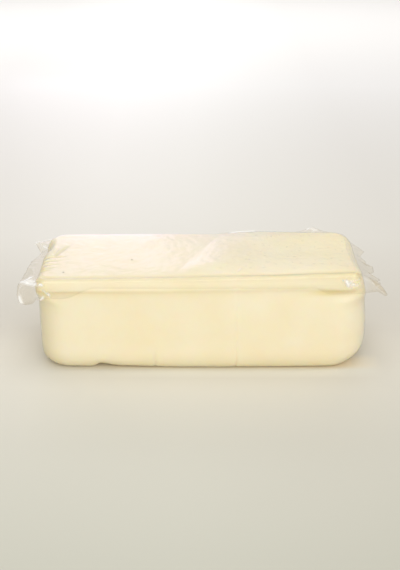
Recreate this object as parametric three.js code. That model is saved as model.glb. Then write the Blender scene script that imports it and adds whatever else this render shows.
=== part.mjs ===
// A loaf of mozzarella in a clear vacuum pack.
// The film clings to the loaf on every side, so the loaf and its film skin are one solid. The sealed
// margin of the film stands out all round the top edge: it is folded down along the front, droops in
// waves at both ends and lifts at the rear.
// Millimetres, +Z up, +X along the loaf, -Y towards its front, origin at the middle of the base.

import * as THREE from 'three';
import { mergeVertices } from 'three/addons/utils/BufferGeometryUtils.js';

// Loaf
const LENGTH = 276;
const DEPTH = 104;
const HEIGHT = 89;
const CORNER_RADIUS = 26;
const BASE_RADIUS = 13;
const BASE_RADIUS_RIGHT_END = 20;
const BASE_RADIUS_RAMP = [70, 130];
const FLAT_INSET = 25;
const SIDE_BOW = 3;
const WALL_BULGE = 0.6;
const RIGHT_BULGE = 2.5;
const RIGHT_BULGE_HEIGHT = 28;
const RIGHT_BULGE_WIDTH = 22;

// Bead along the top edge: a crease under it, its widest line, and the groove that parts it from the top
const CREASE_HEIGHT = 73.6;
const CREASE_INSET = 0.6;
const BEAD_HEIGHT = 78.5;
const BEAD_OUT = 0.8;
const GROOVE_HEIGHT = 84.9;
const GROOVE_INSET = 6;
const CROWN_POWER = 3;
const TOP_LEFT_OUT = 1;
const TOP_RIGHT_INSET = 2.6;
const TOP_SHIFT_RAMP = [67, 80];
const FRONT_TILT = 1.2;
const FRONT_TILT_RAMP = [60, 75];

// Dent under the front edge, steep on its left and shallow on its right
const DENT_X = -79;
const DENT_LIFT = 3;
const DENT_LEFT_WIDTH = 8;
const DENT_RIGHT_WIDTH = 14;
const DENT_DEPTH_RAMP = [-28, -46];
const DENT_HEIGHT = 16;

// Pinch at the rear left corner of the top
const PINCH_Y = 34;
const PINCH_WIDTH = 9;
const PINCH_IN = 3.5;
const PINCH_HEIGHT_RAMP = [58, 80];
const PINCH_X_RAMP = [-112, -132];
const PINCH_FADE = 8;

// Film margin: a flat blank rooted over the groove, with the width that each side keeps
const FILM = 0.8;
const ROOT_INSET = 4;
const ROOT_HEIGHT = 86;
const FOLD_OUT = 0.2;
const FOLD_RADIUS = 1.6;
const BACK_FOLD_RADIUS = 3;
const END_FOLD_RADIUS = 3;
const FRONT_WIDTH = 13.5;
const FRONT_WIDTH_LEFT = 20;
const FRONT_LEFT_RAMP = [-92, -120];
const FRONT_WIDTH_RIGHT = 12;
const FRONT_RIGHT_RAMP = [80, 112];
const BACK_WIDTH = 13;
const BACK_WIDTH_LEFT = 6;
const BACK_LEFT_RAMP = [-90, -112];
const LEFT_WIDTH = 13;
const LEFT_WIDTH_PINCHED = 3;
const LEFT_TAPER_RAMP = [-52, 24];
const LEFT_WIDTH_REAR = 15;
const LEFT_REAR_RAMP = [26, 42];
const RIGHT_WIDTH = 19;
const RIGHT_WIDTH_MIDDLE = 12;
const RIGHT_FRONT_RAMP = [-15, -56];
const RIGHT_WIDTH_REAR = 10;
const RIGHT_REAR_RAMP = [34, 52];

// How far each side of the margin turns down, in degrees
const FRONT_FOLD = 84;
const FRONT_FLARE_RIGHT = 24;
const FLARE_RIGHT_RAMP = [100, 140];
const FRONT_FLARE_TIP = 16;
const FLARE_TIP_RAMP = [138, 160];
const FRONT_FLARE_LEFT = 16;
const FLARE_LEFT_RAMP = [-95, -140];
const BACK_FOLD = 26;
const BACK_LIFT = 42;
const BACK_LIFT_X = [10, 99, 122];
const BACK_DROOP_LEFT = 10;
const BACK_LEFT_DROOP_RAMP = [-100, -140];
const BACK_DROOP_RIGHT = 16;
const BACK_RIGHT_DROOP_RAMP = [112, 140];
const LEFT_DROOP = 18;
const LEFT_DROOP_PINCHED = 38;
const LEFT_DROOP_RAMP = [-50, 24];
const LEFT_REAR_LIFT = 8;
const LEFT_REAR_LIFT_RAMP = [24, 48];
const RIGHT_DROOP = 36;
const RIGHT_WAVE = 10;
const RIGHT_WAVE_LENGTH = 31;
const RIGHT_WAVE_CREST = 31;
const RIGHT_WAVE_FADE = [-62, -40];

// Steps of the two grids
const LOAF_STEPS = { long: 32, corner: 6, end: 8 };
const MARGIN_STEPS = { long: 30, corner: 8, end: 18 };
const BASE_STEPS = 5;
const WALL_STEPS = 5;
const BEAD_STEPS = 3;
const SHOULDER_STEPS = 5;
const CROWN_STEPS = 5;
const FOLD_ROWS = [-ROOT_INSET, -1, 0.2, 1.4, 2.6];
const HANG_STEPS = 4;
const MERGE_DISTANCE = 1e-3;
const ALIGNED = 1e-9;

const HALF_LENGTH = LENGTH / 2;
const HALF_DEPTH = DEPTH / 2;
const { degToRad, lerp } = THREE.MathUtils;

// Eased step from 0 to 1 between two values, in either direction
function ramp(from, to, value) {
  const share = THREE.MathUtils.clamp((value - from) / (to - from), 0, 1);
  return share * share * (3 - 2 * share);
}

function hump(centre, width, value) {
  return Math.exp(-(((value - centre) / width) ** 2));
}

// Width of the margin at a place on each side of the loaf
function frontWidth(x) {
  const left = (FRONT_WIDTH_LEFT - FRONT_WIDTH) * ramp(...FRONT_LEFT_RAMP, x);
  const right = (FRONT_WIDTH - FRONT_WIDTH_RIGHT) * ramp(...FRONT_RIGHT_RAMP, x);
  return FRONT_WIDTH + left - right;
}

function backWidth(x) {
  return lerp(BACK_WIDTH, BACK_WIDTH_LEFT, ramp(...BACK_LEFT_RAMP, x));
}

function leftWidth(y) {
  const tapered = lerp(LEFT_WIDTH, LEFT_WIDTH_PINCHED, ramp(...LEFT_TAPER_RAMP, y));
  return lerp(tapered, LEFT_WIDTH_REAR, ramp(...LEFT_REAR_RAMP, y));
}

function rightWidth(y) {
  const front = (RIGHT_WIDTH - RIGHT_WIDTH_MIDDLE) * ramp(...RIGHT_FRONT_RAMP, y);
  const rear = (RIGHT_WIDTH_MIDDLE - RIGHT_WIDTH_REAR) * ramp(...RIGHT_REAR_RAMP, y);
  return RIGHT_WIDTH_MIDDLE + front - rear;
}

// Margin beyond the end and beyond the side at each corner of the blank
function cornerWidths(sideX, sideY) {
  if (sideY < 0) {
    return sideX < 0 ? [LEFT_WIDTH, FRONT_WIDTH_LEFT] : [RIGHT_WIDTH, FRONT_WIDTH_RIGHT];
  }
  return sideX < 0 ? [LEFT_WIDTH_REAR, BACK_WIDTH_LEFT] : [RIGHT_WIDTH_REAR, BACK_WIDTH];
}

// One quarter turn round a corner, whose middle step points at the corner of the blank
function cornerStations(sideX, sideY, steps) {
  const [endWidth, sideWidth] = cornerWidths(sideX, sideY);
  const startsOnEnd = sideX === sideY;
  const startAngle = Math.atan2(startsOnEnd ? 0 : sideY, startsOnEnd ? sideX : 0);
  const alongStart = CORNER_RADIUS + (startsOnEnd ? endWidth : sideWidth);
  const alongFinish = CORNER_RADIUS + (startsOnEnd ? sideWidth : endWidth);
  const blankAngle = Math.atan2(alongFinish, alongStart);
  const stations = [];
  for (let k = 0; k < steps; k++) {
    const share = (2 * k) / steps;
    const turn = share < 1 ? blankAngle * share : lerp(blankAngle, Math.PI / 2, share - 1);
    const angle = startAngle + turn;
    stations.push({ sideX, sideY, normalX: Math.cos(angle), normalY: Math.sin(angle) });
  }
  return stations;
}

// Stations round the loaf, anticlockwise from above: a place on the inner rectangle and a normal
function outlineStations({ long, corner, end }) {
  const stations = [];
  for (let k = 0; k < long; k++) {
    stations.push({ sideX: -1 + (2 * k) / long, sideY: -1, normalX: 0, normalY: -1 });
  }
  stations.push(...cornerStations(1, -1, corner));
  for (let k = 0; k < end; k++) {
    stations.push({ sideX: 1, sideY: -1 + (2 * k) / end, normalX: 1, normalY: 0 });
  }
  stations.push(...cornerStations(1, 1, corner));
  for (let k = 0; k < long; k++) {
    stations.push({ sideX: 1 - (2 * k) / long, sideY: 1, normalX: 0, normalY: 1 });
  }
  stations.push(...cornerStations(-1, 1, corner));
  for (let k = 0; k < end; k++) {
    stations.push({ sideX: -1, sideY: 1 - (2 * k) / end, normalX: -1, normalY: 0 });
  }
  stations.push(...cornerStations(-1, -1, corner));
  return stations;
}

function planPoint({ sideX, sideY, normalX, normalY }, out) {
  const x = sideX * (HALF_LENGTH - CORNER_RADIUS) + normalX * (CORNER_RADIUS + out);
  const y = sideY * (HALF_DEPTH - CORNER_RADIUS) + normalY * (CORNER_RADIUS + out);
  return [x, y];
}

// The long sides bow out towards the middle of the loaf
function sideBow({ sideY, normalY }, x) {
  const along = Math.min(Math.abs(x) / HALF_LENGTH, 1);
  return Math.sign(sideY) * Math.abs(normalY) * SIDE_BOW * (1 - along * along);
}

// The top edge sinks a little towards the left end of the front
function frontTilt(x, y) {
  return FRONT_TILT * (x / HALF_LENGTH) * (Math.max(-y, 0) / HALF_DEPTH);
}

function dentLift(x, y, z) {
  const width = x < DENT_X ? DENT_LEFT_WIDTH : DENT_RIGHT_WIDTH;
  const inFront = ramp(...DENT_DEPTH_RAMP, y);
  return DENT_LIFT * hump(DENT_X, width, x) * inFront * ramp(DENT_HEIGHT, 0, z);
}

// The right end bulges above its base
function rightBulge({ normalX }, height) {
  return Math.max(normalX, 0) * RIGHT_BULGE * hump(RIGHT_BULGE_HEIGHT, RIGHT_BULGE_WIDTH, height);
}

// The top stands out over the wall at the left end and sets back from it at the right end
function topShift({ normalX }) {
  return normalX < 0 ? TOP_LEFT_OUT * normalX : -TOP_RIGHT_INSET * normalX;
}

function pinchIn(x, y) {
  return PINCH_IN * hump(PINCH_Y, PINCH_WIDTH, y) * ramp(...PINCH_X_RAMP, x);
}

// A point of the loaf, so far out from its plan outline and so high
function loafPoint(station, out, height) {
  const [planX, planY] = planPoint(station, out);
  const shift = topShift(station) * ramp(...TOP_SHIFT_RAMP, height) + rightBulge(station, height);
  const x = planX + shift + pinchIn(planX, planY) * ramp(...PINCH_HEIGHT_RAMP, height);
  const y = planY + sideBow(station, x);
  const tilt = frontTilt(x, y) * ramp(...FRONT_TILT_RAMP, height);
  return new THREE.Vector3(x, y, height + tilt + dentLift(x, y, height));
}

function baseRadius(station) {
  const [x] = planPoint(station, 0);
  return lerp(BASE_RADIUS, BASE_RADIUS_RIGHT_END, ramp(...BASE_RADIUS_RAMP, x));
}

// The base and the top both run in to a line along the middle of the loaf
function spinePoint({ sideX }, height) {
  return new THREE.Vector3(sideX * (HALF_LENGTH - HALF_DEPTH), 0, height);
}

// Points from the middle of the base, up the side and in to the middle of the top
function loafColumn(station) {
  const column = [spinePoint(station, 0), loafPoint(station, -FLAT_INSET, 0)];
  const radius = baseRadius(station);
  for (let k = 0; k <= BASE_STEPS; k++) {
    const turn = ((k / BASE_STEPS) * Math.PI) / 2;
    column.push(loafPoint(station, -radius * (1 - Math.sin(turn)), radius * (1 - Math.cos(turn))));
  }
  for (let k = 1; k < WALL_STEPS; k++) {
    const height = lerp(radius, CREASE_HEIGHT, k / WALL_STEPS);
    column.push(loafPoint(station, WALL_BULGE * Math.sin((Math.PI * k) / WALL_STEPS), height));
  }
  for (let k = 0; k < BEAD_STEPS; k++) {
    const share = k / BEAD_STEPS;
    const out = lerp(-CREASE_INSET, BEAD_OUT, Math.sin((share * Math.PI) / 2));
    column.push(loafPoint(station, out, lerp(CREASE_HEIGHT, BEAD_HEIGHT, share)));
  }
  for (let k = 0; k <= SHOULDER_STEPS; k++) {
    const turn = ((k / SHOULDER_STEPS) * Math.PI) / 2;
    const out = lerp(-GROOVE_INSET, BEAD_OUT, Math.cos(turn));
    column.push(loafPoint(station, out, lerp(BEAD_HEIGHT, GROOVE_HEIGHT, Math.sin(turn))));
  }
  const rim = column[column.length - 1];
  const spine = spinePoint(station, rim.z);
  for (let k = 1; k <= CROWN_STEPS; k++) {
    const share = (k / CROWN_STEPS) ** 2;
    const point = rim.clone().lerp(spine, share);
    point.z = lerp(rim.z, HEIGHT, 1 - (1 - share) ** CROWN_POWER);
    column.push(point);
  }
  return column;
}

// A sheet that leaves flat and bends down through an angle: how far it reaches out and down
function bend(run, angle, radius) {
  const turned = Math.min(run / radius, Math.abs(angle));
  const straight = Math.max(run - radius * Math.abs(angle), 0);
  const out = radius * Math.sin(turned) + straight * Math.cos(turned);
  const down = radius * (1 - Math.cos(turned)) + straight * Math.sin(turned);
  return { out, down: Math.sign(angle) * down };
}

function frontFold(x) {
  const left = FRONT_FLARE_LEFT * ramp(...FLARE_LEFT_RAMP, x);
  const right = FRONT_FLARE_RIGHT * ramp(...FLARE_RIGHT_RAMP, x);
  const tip = FRONT_FLARE_TIP * ramp(...FLARE_TIP_RAMP, x);
  return degToRad(FRONT_FOLD - left - right - tip);
}

function backFold(x) {
  const [liftStart, liftCrest, liftEnd] = BACK_LIFT_X;
  const lift = x < liftCrest ? ramp(liftStart, liftCrest, x) : ramp(liftEnd, liftCrest, x);
  const left = BACK_DROOP_LEFT * ramp(...BACK_LEFT_DROOP_RAMP, x);
  const right = BACK_DROOP_RIGHT * ramp(...BACK_RIGHT_DROOP_RAMP, x);
  return degToRad(BACK_FOLD - BACK_LIFT * lift + left + right);
}

function endDroop(x, y) {
  if (x < 0) {
    const droop = lerp(LEFT_DROOP, LEFT_DROOP_PINCHED, ramp(...LEFT_DROOP_RAMP, y));
    return degToRad(droop - LEFT_REAR_LIFT * ramp(...LEFT_REAR_LIFT_RAMP, y));
  }
  const phase = (2 * Math.PI * (y - RIGHT_WAVE_CREST)) / RIGHT_WAVE_LENGTH;
  return degToRad(RIGHT_DROOP - RIGHT_WAVE * Math.cos(phase) * ramp(...RIGHT_WAVE_FADE, y));
}

// How far the margin reaches beyond the plan outline, to the edge of the blank
function marginReach(station) {
  const { sideX, sideY, normalX, normalY } = station;
  const [x, y] = planPoint(station, 0);
  if (Math.abs(sideX) < 1 || Math.abs(normalX) < ALIGNED) {
    return sideY < 0 ? frontWidth(x) : backWidth(x);
  }
  if (Math.abs(sideY) < 1 || Math.abs(normalY) < ALIGNED) {
    return sideX < 0 ? leftWidth(y) : rightWidth(y);
  }
  const [endWidth, sideWidth] = cornerWidths(sideX, sideY);
  const toEnd = (CORNER_RADIUS + endWidth) / Math.abs(normalX);
  const toSide = (CORNER_RADIUS + sideWidth) / Math.abs(normalY);
  return Math.min(toEnd, toSide) - CORNER_RADIUS;
}

// A point of the flat blank, folded at the front or the back and then drooped at the ends
function marginPoint(station, out) {
  const [planX, blankY] = planPoint(station, out);
  const shift = topShift(station);
  const blankX = planX + shift + pinchIn(planX, blankY) * ramp(PINCH_FADE, -ROOT_INSET, out);
  const point = new THREE.Vector3(blankX, blankY, ROOT_HEIGHT);
  const beyondSide = Math.abs(blankY) - HALF_DEPTH - FOLD_OUT;
  if (beyondSide > 0) {
    const isFront = blankY < 0;
    const angle = isFront ? frontFold(blankX) : backFold(blankX);
    const fold = bend(beyondSide, angle, isFront ? FOLD_RADIUS : BACK_FOLD_RADIUS);
    point.y = Math.sign(blankY) * (HALF_DEPTH + FOLD_OUT + fold.out);
    point.z -= fold.down;
  }
  const endX = HALF_LENGTH + (blankX < 0 ? TOP_LEFT_OUT : -TOP_RIGHT_INSET);
  const beyondEnd = Math.abs(blankX) - endX;
  if (beyondEnd > 0) {
    const fold = bend(beyondEnd, endDroop(blankX, blankY), END_FOLD_RADIUS);
    point.x = Math.sign(blankX) * (endX + fold.out);
    point.z -= fold.down;
  }
  point.y += sideBow(station, blankX);
  point.z += frontTilt(point.x, blankY);
  return point;
}

// Points of the margin's middle surface, from its root over the fold to the free edge
function marginColumn(station) {
  const column = FOLD_ROWS.map((out) => marginPoint(station, out));
  const lastFold = FOLD_ROWS[FOLD_ROWS.length - 1];
  for (let k = 1; k <= HANG_STEPS; k++) {
    column.push(marginPoint(station, lerp(lastFold, marginReach(station), k / HANG_STEPS)));
  }
  return column;
}

// The two faces of a sheet, half its thickness either side of a looped grid of points
function sheetFaces(columns, thickness) {
  const upper = [];
  const lower = [];
  columns.forEach((column, s) => {
    const before = columns[(s + columns.length - 1) % columns.length];
    const after = columns[(s + 1) % columns.length];
    const offsets = column.map((point, row) => {
      const round = after[row].clone().sub(before[row]);
      const outward = column[Math.min(row + 1, column.length - 1)].clone();
      outward.sub(column[Math.max(row - 1, 0)]);
      return outward.cross(round).setLength(thickness / 2);
    });
    upper.push(column.map((point, row) => point.clone().add(offsets[row])));
    lower.push(column.map((point, row) => point.clone().sub(offsets[row])));
  });
  return { upper, lower };
}

// Triangles between neighbouring columns of a loop, facing out, or the other way when turned
function addGrid(triangles, columns, turned) {
  columns.forEach((column, s) => {
    const next = columns[(s + 1) % columns.length];
    for (let row = 0; row + 1 < column.length; row++) {
      const first = [column[row], next[row], next[row + 1]];
      const second = [column[row], next[row + 1], column[row + 1]];
      triangles.push(turned ? first.reverse() : first, turned ? second.reverse() : second);
    }
  });
}

// A closed mesh from triangles: shared points are merged, and triangles that collapse are dropped
function closedGeometry(triangles) {
  const soup = new THREE.BufferGeometry().setFromPoints(triangles.flat());
  const merged = mergeVertices(soup, MERGE_DISTANCE);
  const corners = merged.index.array;
  const kept = [];
  for (let k = 0; k < corners.length; k += 3) {
    const [a, b, c] = corners.slice(k, k + 3);
    if (a !== b && b !== c && c !== a) {
      kept.push(a, b, c);
    }
  }
  merged.setIndex(kept);
  merged.computeVertexNormals();
  return merged;
}

function loafGeometry() {
  const triangles = [];
  addGrid(triangles, outlineStations(LOAF_STEPS).map(loafColumn), false);
  return closedGeometry(triangles);
}

function marginGeometry() {
  const { upper, lower } = sheetFaces(outlineStations(MARGIN_STEPS).map(marginColumn), FILM);
  const triangles = [];
  addGrid(triangles, upper, true);
  addGrid(triangles, lower, false);
  addGrid(triangles, upper.map((column, s) => [lower[s].at(-1), column.at(-1)]), false);
  addGrid(triangles, upper.map((column, s) => [lower[s][0], column[0]]), true);
  return closedGeometry(triangles);
}

function namedMesh(name, geometry, material) {
  const mesh = new THREE.Mesh(geometry, material);
  mesh.name = name;
  return mesh;
}

const cheese = new THREE.MeshStandardMaterial({ color: 0xf4e6bf, roughness: 0.45, metalness: 0 });
const clearFilm = new THREE.MeshStandardMaterial({ color: 0xe6e2d8, roughness: 0.12, metalness: 0 });
clearFilm.transparent = true;
clearFilm.opacity = 0.3;

const pack = new THREE.Group();
pack.add(namedMesh('cheese_loaf', loafGeometry(), cheese));
pack.add(namedMesh('film_margin', marginGeometry(), clearFilm));

export default pack;
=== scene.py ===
"""Looks of a mozzarella loaf in a clear vacuum pack: the cheese, the film that clings to it, the film's
wavy sealed margin, small bubbles under the film, two specks on the top, and a plain studio stage."""

import math
from typing import NamedTuple

import bmesh
import bpy
import numpy as np
from bpy.props import FloatProperty, FloatVectorProperty, IntProperty, PointerProperty
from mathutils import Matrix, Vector, noise


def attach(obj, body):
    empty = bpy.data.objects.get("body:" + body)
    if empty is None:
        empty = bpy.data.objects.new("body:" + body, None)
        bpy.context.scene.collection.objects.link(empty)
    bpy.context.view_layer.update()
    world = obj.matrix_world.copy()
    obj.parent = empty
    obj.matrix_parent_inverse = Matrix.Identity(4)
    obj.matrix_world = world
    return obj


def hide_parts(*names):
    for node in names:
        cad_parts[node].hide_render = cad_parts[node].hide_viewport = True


bl_info = {
    "name": "Mozzarella loaf in film",
    "version": (1, 0, 0),
    "blender": (4, 5, 0),
    "location": "3D View > Sidebar > Cheese",
    "description": "Builds a vacuum-packed mozzarella loaf, its clear film and a studio stage",
    "category": "Object",
}

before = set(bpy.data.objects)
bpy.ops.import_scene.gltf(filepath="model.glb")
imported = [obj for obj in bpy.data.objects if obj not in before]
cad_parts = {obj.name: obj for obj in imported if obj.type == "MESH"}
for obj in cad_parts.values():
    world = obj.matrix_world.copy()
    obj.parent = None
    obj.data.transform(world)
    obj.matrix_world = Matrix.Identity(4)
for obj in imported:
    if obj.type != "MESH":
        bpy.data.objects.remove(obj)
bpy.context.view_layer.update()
MM = 0.001

# Photograph's frame in pixels, and the sensor that spans its longer side
PHOTO_WIDTH = 400
PHOTO_HEIGHT = 570
SENSOR_MM = 36.0


def length_property(name, description, default):
    """A length in metres that the sidebar offers."""
    return FloatProperty(name=name, description=description, default=default, unit="LENGTH")


def power_property(name, description, default):
    """A light's power in watts that the sidebar offers."""
    return FloatProperty(name=name, description=description, default=default, subtype="POWER")


def colour_property(name, description, *colour):
    """A solid colour that the sidebar offers."""
    return FloatVectorProperty(
        name=name, description=description, default=(*colour, 1.0), subtype="COLOR", size=4
    )


class LoafSizes(bpy.types.PropertyGroup):
    """Sizes of the cheese loaf."""

    length: length_property("Length", "Length between the end walls", 0.276)
    depth: length_property("Depth", "Depth between the long walls at their ends", 0.104)
    height: length_property("Height", "Height of the crowned top", 0.0886)
    corner_radius: length_property("Corner radius", "Radius of the upright corners", 0.026)
    base_radius: length_property("Base radius", "Rounding of the lower edge", 0.013)
    base_radius_right: length_property("Right base radius", "Rounding of the right end's lower edge", 0.020)
    side_bow: length_property("Side bow", "How far the long walls bow out", 0.003)


class FilmSizes(bpy.types.PropertyGroup):
    """Sizes of the clear film and of what it traps."""

    cling: length_property("Cling", "Gap between cheese and film skin", 0.00025)
    sheet: length_property("Sheet", "Thickness of the sealed margin", 0.00035)
    crumple: length_property("Crumple", "Height of the margin's small creases", 0.0005)
    bubble_radius: length_property("Bubble radius", "Radius of a large bubble under the film", 0.0011)
    bubble_density: FloatProperty(
        name="Bubble density", description="Bubbles per square metre where they lie thickest", default=9000.0
    )
    bubble_seed: IntProperty(name="Bubble seed", description="Draw of the bubbles' places", default=7)


class Finishes(bpy.types.PropertyGroup):
    """Colours of the cheese, the film, the specks and the floor."""

    cheese: colour_property("Cheese", "Main colour of the cheese", 0.93, 0.835, 0.625)
    cheese_deep: colour_property("Deeper cheese", "Colour of the denser curd", 0.91, 0.80, 0.55)
    # Colour that paints shade into folds, under the bead and at the left end, and deepens the cheese low
    # down and to the right
    cheese_shade_and_tone: colour_property("Cheese in folds", "Colour of the cheese deep in a fold", 0.85, 0.725, 0.40)
    # Painted shade that dims the cheese low down and in the groove
    cheese_shade: colour_property(
        "Shaded cheese", "What the cheese is dimmed by low down and in the groove", 0.80, 0.82, 0.84
    )
    skin_tint: colour_property("Skin tint", "What the clinging film lets through", 0.995, 0.995, 0.99)
    margin_tint: colour_property("Margin tint", "What a face of the margin lets through", 0.99, 0.975, 0.942)
    # Darker tint that paints the dark line of the margin's free edge
    margin_rim: colour_property(
        "Margin rim", "What a face of the margin's free edge lets through", 0.93, 0.91, 0.87
    )
    # White of the film's creases, also used to paint its highlights and glints
    crease: colour_property("Film crease", "Whitened film along sharp creases", 1.0, 0.99, 0.96)
    speck: colour_property("Speck", "Colour of the small specks", 0.60, 0.50, 0.38)
    # Floor colours that paint it lighter from near to far
    floor_near: colour_property("Near floor", "Colour of the floor near the camera", 0.58, 0.57, 0.48)
    floor_middle: colour_property("Middle floor", "Colour of the floor round the loaf", 0.745, 0.713, 0.622)
    floor_far: colour_property("Far floor", "Colour of the floor far behind the loaf", 0.92, 0.905, 0.885)
    # Painted light that the loaf's front throws on the floor
    floor_glow: colour_property(
        "Floor glow", "Colour of the floor that the loaf's front throws light on", 0.91, 0.89, 0.785
    )
    # Painted warm light on the floor under the loaf's lower edge, in its shadow
    floor_contact: colour_property(
        "Floor contact", "Colour of the floor under the loaf's lower edge", 0.92, 0.80, 0.59
    )
    # Painted shade aside and behind the loaf
    floor_shade: colour_property(
        "Floor shade", "What the floor is dimmed by aside and behind the loaf", 0.915, 0.905, 0.90
    )


class StageSettings(bpy.types.PropertyGroup):
    """Camera and light."""

    camera_place: FloatVectorProperty(
        name="Camera place", description="Where the camera stands", subtype="XYZ", unit="LENGTH",
        default=(-0.0014, -0.8637, 0.4150),
    )
    camera_pitch: FloatProperty(
        name="Camera pitch", description="How far the camera looks down", subtype="ANGLE",
        default=math.radians(22.5),
    )
    focal_pixels: FloatProperty(
        name="Focal length", description="Focal length in pixels of the photograph", default=1067.5
    )
    room_light: FloatProperty(name="Room light", description="Strength of the even light", default=0.58)
    key_light: power_property("Key light", "Power of the soft light in front", 34.8)
    over_light: power_property("Overhead light", "Power of the overhead soft light", 2.2)
    sweep_light: power_property("Sweep light", "Power of the light on the floor far behind", 15.0)
    rear_light: power_property("Rear light", "Power of the wide light that gleams on the top", 0.66)
    gleam_light: power_property("Gleam light", "Power of the narrow light that gleams on the top", 0.66)


class Lamp(NamedTuple):
    """Place, target and size of a soft light in metres, whether it lights and gleams, and its colour."""

    place: tuple
    target: tuple
    size: tuple
    lights: bool = True
    gleams: bool = True
    colour: tuple = (1.0, 1.0, 1.0)


# Soft lights of the stage, with a rose tone for those that only gleam on the film
LOAF_MIDDLE = (0.0, 0.0, 0.05)
GLEAM_COLOUR = (1.0, 0.8, 1.05)
LAMPS = {
    "key_light": Lamp((0.35, -2.15, 1.1), LOAF_MIDDLE, (3.0, 1.6)),
    "over_light": Lamp((0.02, 0.0, 1.0), LOAF_MIDDLE, (0.6, 0.6), gleams=False),
    "sweep_light": Lamp((-0.25, 1.9, 1.1), (-0.2, 1.5, 0.0), (2.4, 0.8), gleams=False),
    "rear_light": Lamp((-0.25, 1.2, 0.4), LOAF_MIDDLE, (0.7, 0.8), lights=False, colour=GLEAM_COLOUR),
    "gleam_light": Lamp((-0.2, 1.1, 0.4), LOAF_MIDDLE, (0.29, 0.8), lights=False, colour=GLEAM_COLOUR),
}

# Floor in metres: its reach, the depths of its three colours, which paint it lighter towards the back, where
# painted shade dims it aside and behind the loaf, and where painted light from the loaf's front and its
# lower edge falls on it
FLOOR_REACH = 6.0
FLOOR_DEPTHS = (-0.34, -0.06, 1.1)
SHADE_X = -0.075
SHADE_REACH = (0.06, 0.3)
DIP_START = (-0.05, 0.03)
DIP_END = (0.08, 0.28)
GLOW_START = (-0.066, -0.05)
CONTACT_START = (-0.05, -0.043)
GLOW_END = (-0.03, -0.02)
GLOW_LEFT = (-0.14, -0.03)
GLOW_RIGHT = (0.155, 0.115)

# Base and walls of the loaf in millimetres, with a dent in the lower front edge. Here and below a ramp
# holds where a change starts and ends, and a bell its middle and its width
FLAT_INSET = 25.0
WALL_BULGE = 0.6
FRONT_BULGE = 1.0
RIGHT_BULGE = 2.5
RIGHT_BULGE_BELL = (28.0, 22.0)
BASE_RADIUS_RAMP = (105.0, 138.0)
DENT_X = -85.5
DENT_LIFT = 2.4
DENT_WIDTHS = (5.0, 9.0)
DENT_TAIL = 0.8
DENT_TAIL_START = (-92.0, -86.0)
DENT_TAIL_END = (-20.0, -60.0)
DENT_DEPTH_RAMP = (-28.0, -46.0)
DENT_HEIGHT = 16.0

# Top of the loaf in millimetres: squarer corners, drawn in at both ends, tilted along the front, pinched in
# at the rear of the left edge
TOP_CORNERS = {(-1, -1): 9.0, (1, -1): 13.0, (1, 1): 20.0, (-1, 1): 17.0}
TOP_CORNER_RAMP = (56.0, 72.0)
LEAST_CORNER = 0.8
TOP_LEFT_INSETS = (-1.2, 0.6)
TOP_LEFT_RAMP = (-58.0, -28.0)
TOP_RIGHT_INSET = 4.6
TOP_SHIFT_RAMP = (64.0, 84.0)
TILT = 3.0
TILT_DEPTH_RAMP = (30.0, -52.0)
REAR_RISE = 0.3
REAR_LIFT = 2.2
REAR_LIFT_X_RAMP = (20.0, 120.0)
REAR_LIFT_Y_RAMP = (-5.0, 45.0)
TILT_HEIGHT_RAMP = (66.0, 80.0)
PINCH_START = (5.0, 16.0)
PINCH_END = (36.0, 24.0)
PINCH_X_RAMP = (-128.5, -136.0)
PINCH_HEIGHT_RAMP = (58.0, 80.0)
PINCH_IN = 0.5
PINCH_SINK = 3.0
CROWN_POWER = 4

# Profiles of the top edge, with a bead and a groove above it in front and plainly rounded elsewhere, and the
# margin's roots on them, groove and shoulder: how far out from the wall, and how high, in millimetres
CREASE_HEIGHT = 72.8
RIM_OUT = -6.6
RIM_HEIGHT = 87.0
FRONT_PROFILE = (
    (0.0, CREASE_HEIGHT), (0.7, 74.4), (1.2, 75.6), (1.0, 77.6), (0.5, 79.9), (-0.1, 82.2), (-0.7, 84.3),
    (-1.5, 85.7), (-2.5, 86.2), (-3.9, 86.0), (RIM_OUT, RIM_HEIGHT),
)
PLAIN_PROFILE = (
    (0.0, CREASE_HEIGHT), (0.2, 75.2), (0.3, 77.0), (0.2, 79.0), (-0.2, 81.0), (-0.8, 82.8), (-1.7, 84.2),
    (-2.7, 85.4), (-3.9, 86.2), (-5.2, 86.7), (RIM_OUT, RIM_HEIGHT),
)
BEAD_WIDEST_HEIGHT = FRONT_PROFILE[2][1]
BEAD_MIDDLE_HEIGHT = FRONT_PROFILE[4][1]
GROOVE = FRONT_PROFILE[9]
SHOULDER = (-0.5, 82.0)

# Crevice that gapes under the bead towards the right, and the bead's sag towards the left, in millimetres,
# with the stretch of the wall, as shares, that the crevice draws in
CREVICE_BELL = (107.0, 17.0)
CREVICE_INSET = 1.4
CREVICE_DROP = 2.2
CREVICE_WALL_RAMP = (0.86, 1.0)
BEAD_SAG = 1.0
BEAD_SAG_BELL = (-117.0, 14.0)

# Tone of the cheese: painted shade in crevice, pinch and groove, under the bead and on the left end wall,
# and a deeper tone low down and towards the right of the top: how deep, as a share, and where, in
# millimetres
CREVICE_TONE_LOW = (68.0, 71.0)
CREVICE_TONE_HIGH = (76.0, 73.0)
PINCH_TONE = 0.7
GROOVE_TONE = 0.42
GROOVE_BELL = (2.8, 2.4)
UNDER_TONE = 0.4
UNDER_TONE_BELL = (71.5, 2.8)
UNDER_TONE_RAMP = (90.0, -90.0)
BASE_TONE = 0.4
BASE_TONE_RAMP = (22.0, 2.0)
RIGHT_TONE = 0.3
RIGHT_TONE_RAMP = (50.0, 125.0)
LEFT_TONE = 0.35
LEFT_TONE_RAMP = (-116.0, -136.0)

# Painted shade that dims the cheese in the groove and low down: how dim, as a share, and where, in
# millimetres
GROOVE_SHADE = 0.6
BASE_SHADE = 0.38
BASE_SHADE_BELL = (8.5, 6.0)

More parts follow.
